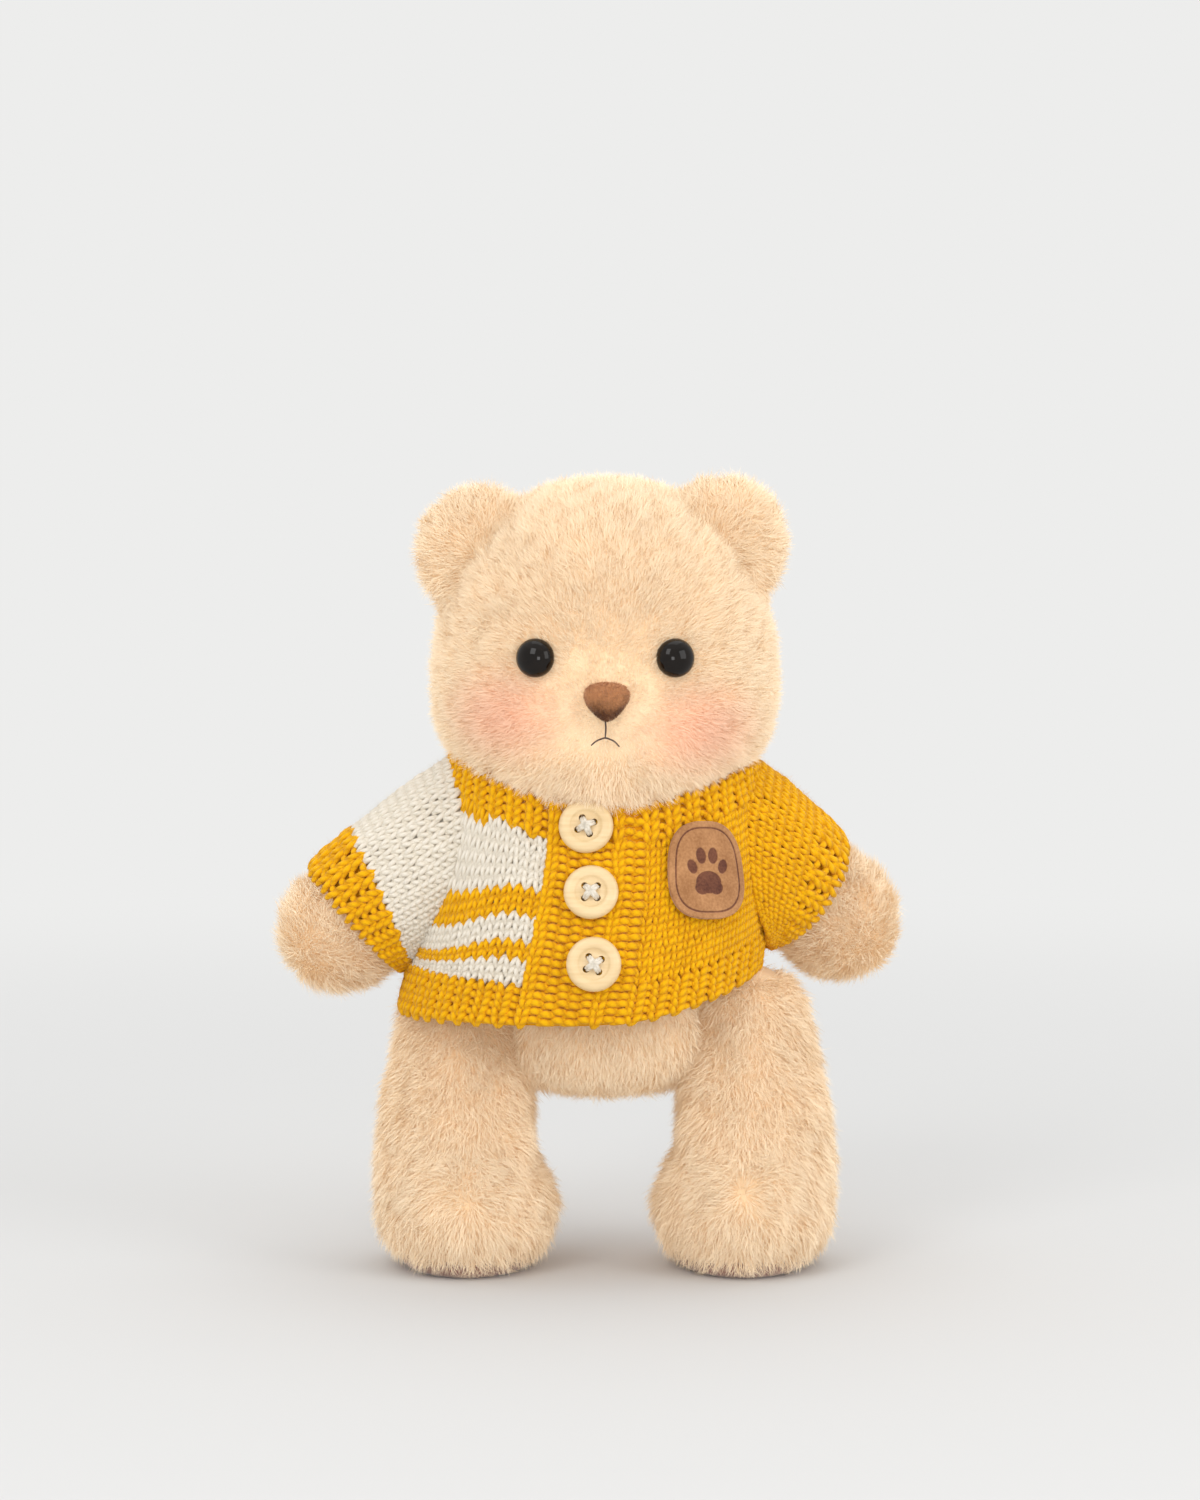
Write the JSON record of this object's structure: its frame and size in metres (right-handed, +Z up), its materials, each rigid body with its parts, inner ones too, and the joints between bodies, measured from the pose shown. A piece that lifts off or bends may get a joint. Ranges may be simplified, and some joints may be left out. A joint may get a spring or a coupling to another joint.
{
  "type": "jointed teddy bear",
  "caption": "Standing plush teddy bear with doll joints at neck, shoulders and hips, wearing a knitted cardigan with wooden buttons.",
  "frame": {"origin": "middle of the bear's bounding box, on the surface it stands on", "axes": "+Z up, the bear faces -Y, +X is towards its own left side"},
  "size_m": [0.2266, 0.122, 0.294],
  "materials": {
    "plush": "long soft pile",
    "stuffing": "loose fibre",
    "mustard_yarn": "knitted, matt and fuzzy",
    "white_yarn": "knitted, matt and fuzzy",
    "suede": "matt suede",
    "badge_suede": "matt suede, burned outline",
    "eye_gloss": "polished",
    "nose_flock": "flocked",
    "mouth_thread": "thin twisted thread",
    "button_wood": "smooth, clear coated",
    "button_yarn": "soft yarn",
    "joint_plastic": "moulded"
  },
  "bodies": {
    "torso": {"torso_skin": "plush", "torso_stuffing": "stuffing", "neck_backing_disc": "joint_plastic", "neck_lock_washer": "joint_plastic", "shoulder_backing_disc_left": "joint_plastic", "shoulder_lock_washer_left": "joint_plastic", "hip_backing_disc_left": "joint_plastic", "hip_lock_washer_left": "joint_plastic", "shoulder_backing_disc_right": "joint_plastic", "shoulder_lock_washer_right": "joint_plastic", "hip_backing_disc_right": "joint_plastic", "hip_lock_washer_right": "joint_plastic", "cardigan_front_right": "white_yarn", "cardigan_front_left": "mustard_yarn", "cardigan_back": "mustard_yarn", "button_band": "mustard_yarn", "hem_rib": "mustard_yarn", "neckband": "mustard_yarn", "button_1": "button_wood", "button_thread_1": "button_yarn", "button_2": "button_wood", "button_thread_2": "button_yarn", "button_3": "button_wood", "button_thread_3": "button_yarn", "badge": "badge_suede"},
    "head": {"head_skin": "plush", "head_stuffing": "stuffing", "eye_left": "eye_gloss", "eye_washer_left": "joint_plastic", "eye_right": "eye_gloss", "eye_washer_right": "joint_plastic", "nose": "nose_flock", "nose_washer": "joint_plastic", "mouth_stitch_upper": "mouth_thread", "mouth_stitch_lower": "mouth_thread", "ear_left": "plush", "ear_right": "plush", "neck_joint_disc": "joint_plastic"},
    "arm_left": {"arm_skin_left": "plush", "arm_stuffing_left": "stuffing", "shoulder_joint_disc_left": "joint_plastic", "sleeve_left": "mustard_yarn", "cuff_left": "mustard_yarn"},
    "arm_right": {"arm_skin_right": "plush", "arm_stuffing_right": "stuffing", "shoulder_joint_disc_right": "joint_plastic", "sleeve_right": "white_yarn", "cuff_right": "mustard_yarn"},
    "leg_left": {"leg_skin_left": "plush", "leg_stuffing_left": "stuffing", "foot_pad_left": "suede", "hip_joint_disc_left": "joint_plastic"},
    "leg_right": {"leg_skin_right": "plush", "leg_stuffing_right": "stuffing", "foot_pad_right": "suede", "hip_joint_disc_right": "joint_plastic"}
  },
  "joints": [
    {"name": "neck_swivel", "type": "hinge", "parent": "torso", "child": "head", "pos_m": [0.005, 0.00315, 0.176], "axis": [0, 0, 1], "continuous": true, "deforming": ["neckband"]},
    {"name": "shoulder_left", "type": "hinge", "parent": "torso", "child": "arm_left", "pos_m": [0.0451, 0.00515, 0.164], "axis": [-1, 0, 0], "range_deg": [-10, 160], "deforming": ["sleeve_left", "cardigan_front_left", "cardigan_back"]},
    {"name": "shoulder_right", "type": "hinge", "parent": "torso", "child": "arm_right", "pos_m": [-0.0351, 0.00515, 0.164], "axis": [-1, 0, 0], "range_deg": [-45, 120], "deforming": ["sleeve_right", "cardigan_front_right"]},
    {"name": "hip_left", "type": "hinge", "parent": "torso", "child": "leg_left", "pos_m": [0.0359, 0.00515, 0.088], "axis": [-1, 0, 0], "range_deg": [-30, 80], "deforming": ["hem_rib"]},
    {"name": "hip_right", "type": "hinge", "parent": "torso", "child": "leg_right", "pos_m": [-0.0259, 0.00515, 0.088], "axis": [-1, 0, 0], "range_deg": [-30, 80]}
  ]
}
